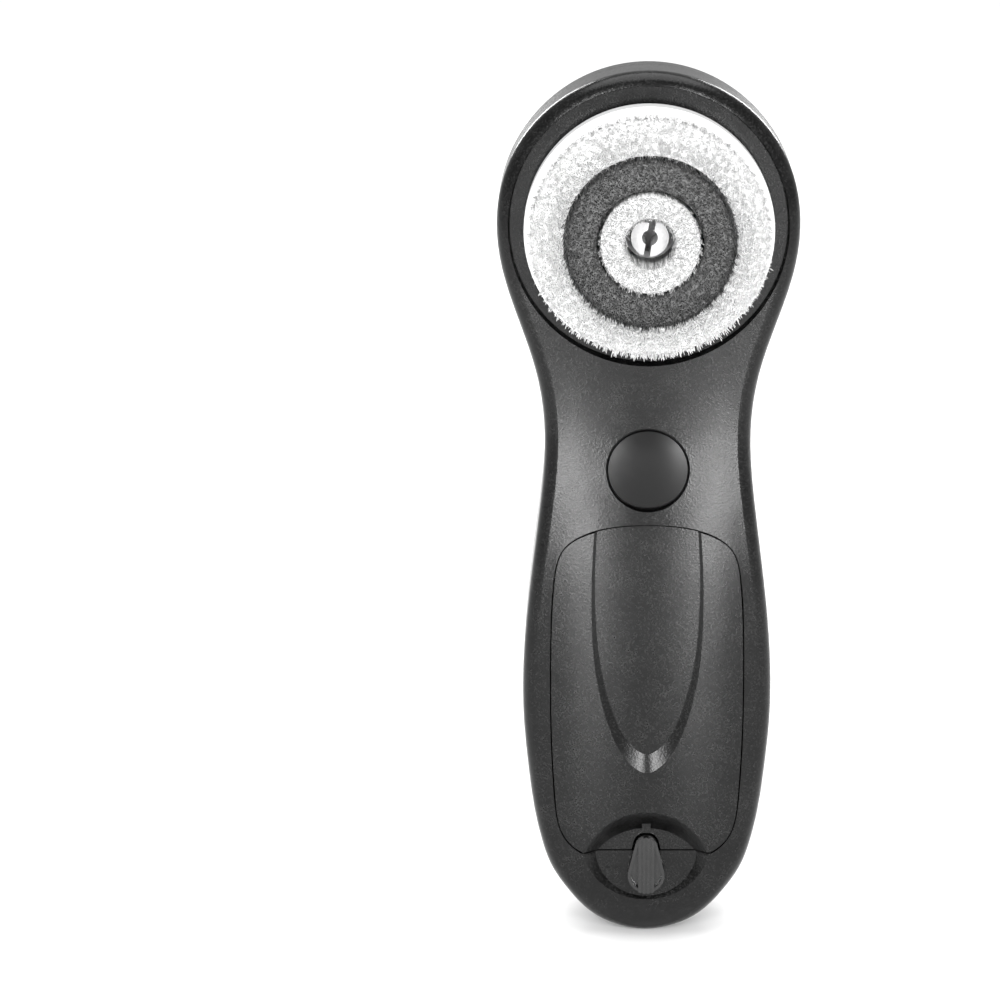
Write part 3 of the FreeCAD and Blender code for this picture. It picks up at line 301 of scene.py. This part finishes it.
def strand(row, reach_of_tips, tip_depths):
    """Root place, lean and tip depth of one filament of a tuft in a row."""
    root_r, tip_r = row
    inner, outer = reach_of_tips
    around, reach = rng.random() * 2 * math.pi, math.sqrt(rng.random())
    root_x = ROOT_SPREAD * reach * math.cos(around)
    root_z = ROOT_SPREAD * reach * math.sin(around)
    out = tip_r - root_r + (TIP_SPREAD - ROOT_SPREAD) * reach * math.cos(around)
    side = (TIP_SPREAD - ROOT_SPREAD) * reach * math.sin(around)
    out += rng.gauss(0, TIP_STRAY)
    side += rng.gauss(0, SIDE_STRAY)
    share = min(max((root_r + root_x + out - inner) / (outer - inner), 0), 1)
    tip_y = tip_depths[0] + (tip_depths[1] - tip_depths[0]) * share
    tip_y += abs(rng.gauss(0, TIP_SCATTER))
    return (root_r + root_x, root_z), (out, side), tip_y


def packing(points, faces, centre, foot_y, edges, tip_depths):
    """The densely packed filaments under the tips, as one uneven ring."""
    start = len(points)
    inner, outer = edges
    profile = [(inner, foot_y)]
    for i in range(PACKING_STEPS + 1):
        share = i / PACKING_STEPS
        y = tip_depths[0] + (tip_depths[1] - tip_depths[0]) * share
        profile.append((inner + (outer - inner) * share, y + PACKING_DEEP))
    profile.append((outer, foot_y))
    for i in range(PACKING_TURNS):
        a = 2 * math.pi * i / PACKING_TURNS
        for k, (radius, y) in enumerate(profile):
            uneven = rng.gauss(0, PACKING_UNEVEN) if 0 < k < len(profile) - 1 else 0.0
            points.append(((centre.x + radius * math.cos(a)) * MM, (y + uneven) * MM,
                           (centre.z + radius * math.sin(a)) * MM))
    count = len(profile)
    for i in range(PACKING_TURNS):
        here, there = start + i * count, start + (i + 1) % PACKING_TURNS * count
        for k in range(count - 1):
            faces.append((here + k, here + k + 1, there + k + 1, there + k))
        faces.append((here + count - 1, here, there, there + count - 1))


def filament(points, faces, centre, turn, foot_y, tip_y, root, lean, radius):
    """One tapered bristle that curves out as it rises."""
    start = len(points)
    cos_turn, sin_turn = math.cos(turn), math.sin(turn)
    for share, width in FILAMENT_RINGS:
        bend = share ** BEND_POWER
        radial = root[0] + lean[0] * bend
        side = root[1] + lean[1] * bend
        y = foot_y + (tip_y - foot_y) * share
        for k in range(TUFT_SIDES):
            a = 2 * math.pi * k / TUFT_SIDES
            r = radial + radius * width * math.cos(a)
            s = side + radius * width * math.sin(a)
            points.append(((centre.x + r * cos_turn - s * sin_turn) * MM, y * MM,
                           (centre.z + r * sin_turn + s * cos_turn) * MM))
    for ring in range(len(FILAMENT_RINGS) - 1):
        low = start + ring * TUFT_SIDES
        for k in range(TUFT_SIDES):
            n = (k + 1) % TUFT_SIDES
            faces.append((low + k, low + n, low + TUFT_SIDES + n, low + TUFT_SIDES + k))
    top = start + (len(FILAMENT_RINGS) - 1) * TUFT_SIDES
    faces.append(tuple(range(top, top + TUFT_SIDES)))
    faces.append(tuple(reversed(range(start, start + TUFT_SIDES))))


def bristles():
    """The three zones of bristles, from the spindle outwards."""
    soft = bristle_look("soft_filament", grey(0.44), grey(0.62))
    white = bristle_look("white_filament", grey(0.54), grey(0.76))
    dark = bristle_look("dark_filament", grey(0.006), grey(0.09))
    tufts("bristles_inner", "inner_bristles", INNER_ZONE, soft)
    tufts("bristles_dark", "dark_bristles", DARK_ZONE, dark)
    tufts("bristles_outer", "outer_bristles", OUTER_ZONE, white)


# ---- studio ------------------------------------------------------------------------------
def floor_sheet():
    """Plain pale floor."""
    low, high = -FLOOR_HALF, FLOOR_HALF
    mesh = bpy.data.meshes.new("studio_floor")
    mesh.from_pydata([(low, low, 0), (high, low, 0), (high, high, 0), (low, high, 0)],
                     [], [(0, 1, 2, 3)])
    paper = bpy.data.materials.new("studio_white")
    paper.use_nodes = True
    shader = paper.node_tree.nodes["Principled BSDF"]
    shader.inputs["Base Color"].default_value = (*grey(FLOOR_GREY), 1)
    shader.inputs["Roughness"].default_value = FLOOR_ROUGH
    shader.inputs["Specular IOR Level"].default_value = FLOOR_GLOSS
    mesh.materials.append(paper)
    floor = bpy.data.objects.new("studio_floor", mesh)
    bpy.context.scene.collection.objects.link(floor)


def softbox(name, place, size, power):
    """Rectangular soft light that faces the middle of the body."""
    lamp = bpy.data.lights.new(name, "AREA")
    lamp.shape = "RECTANGLE"
    lamp.size, lamp.size_y = size
    lamp.energy = power
    made = bpy.data.objects.new(name, lamp)
    made.location = place
    aim = Vector(BODY_MIDDLE) - Vector(place)
    made.rotation_euler = aim.to_track_quat("-Z", "Y").to_euler()
    bpy.context.scene.collection.objects.link(made)


def sky():
    """Wide soft light from straight above that makes the floor evenly pale."""
    lamp = bpy.data.lights.new("top_light", "SUN")
    lamp.angle = math.radians(SKY_ANGLE)
    lamp.energy = SKY_LIGHT
    made = bpy.data.objects.new("top_light", lamp)
    bpy.context.scene.collection.objects.link(made)


def studio():
    """White surroundings, two softboxes in front, two weaker ones behind and the top light."""
    world = bpy.data.worlds.new("studio_air")
    world.use_nodes = True
    air = world.node_tree.nodes["Background"]
    air.inputs["Color"].default_value = (1, 1, 1, 1)
    air.inputs["Strength"].default_value = WORLD_LIGHT
    bpy.context.scene.world = world
    for name, place in SIDE_BOXES.items():
        softbox(name, place, SIDE_SIZE, SIDE_POWER)
    for name, place in BACK_BOXES.items():
        softbox(name, place, BACK_SIZE, BACK_POWER)
    sky()


def camera():
    """Camera that frames the brush as the photograph does."""
    lens = bpy.data.cameras.new("photo_camera")
    lens.lens = CAMERA_LENS
    lens.sensor_width = CAMERA_SENSOR
    lens.shift_x = CAMERA_SHIFT_X
    lens.clip_start = CAMERA_CLIP
    made = bpy.data.objects.new("photo_camera", lens)
    made.location = CAMERA_PLACE
    made.rotation_euler = (math.radians(90 - CAMERA_DOWN), 0, 0)
    bpy.context.scene.collection.objects.link(made)
    bpy.context.scene.camera = made
    bpy.context.scene.view_settings.view_transform = "Standard"


dress_nodes()
bristles()
floor_sheet()
studio()
camera()
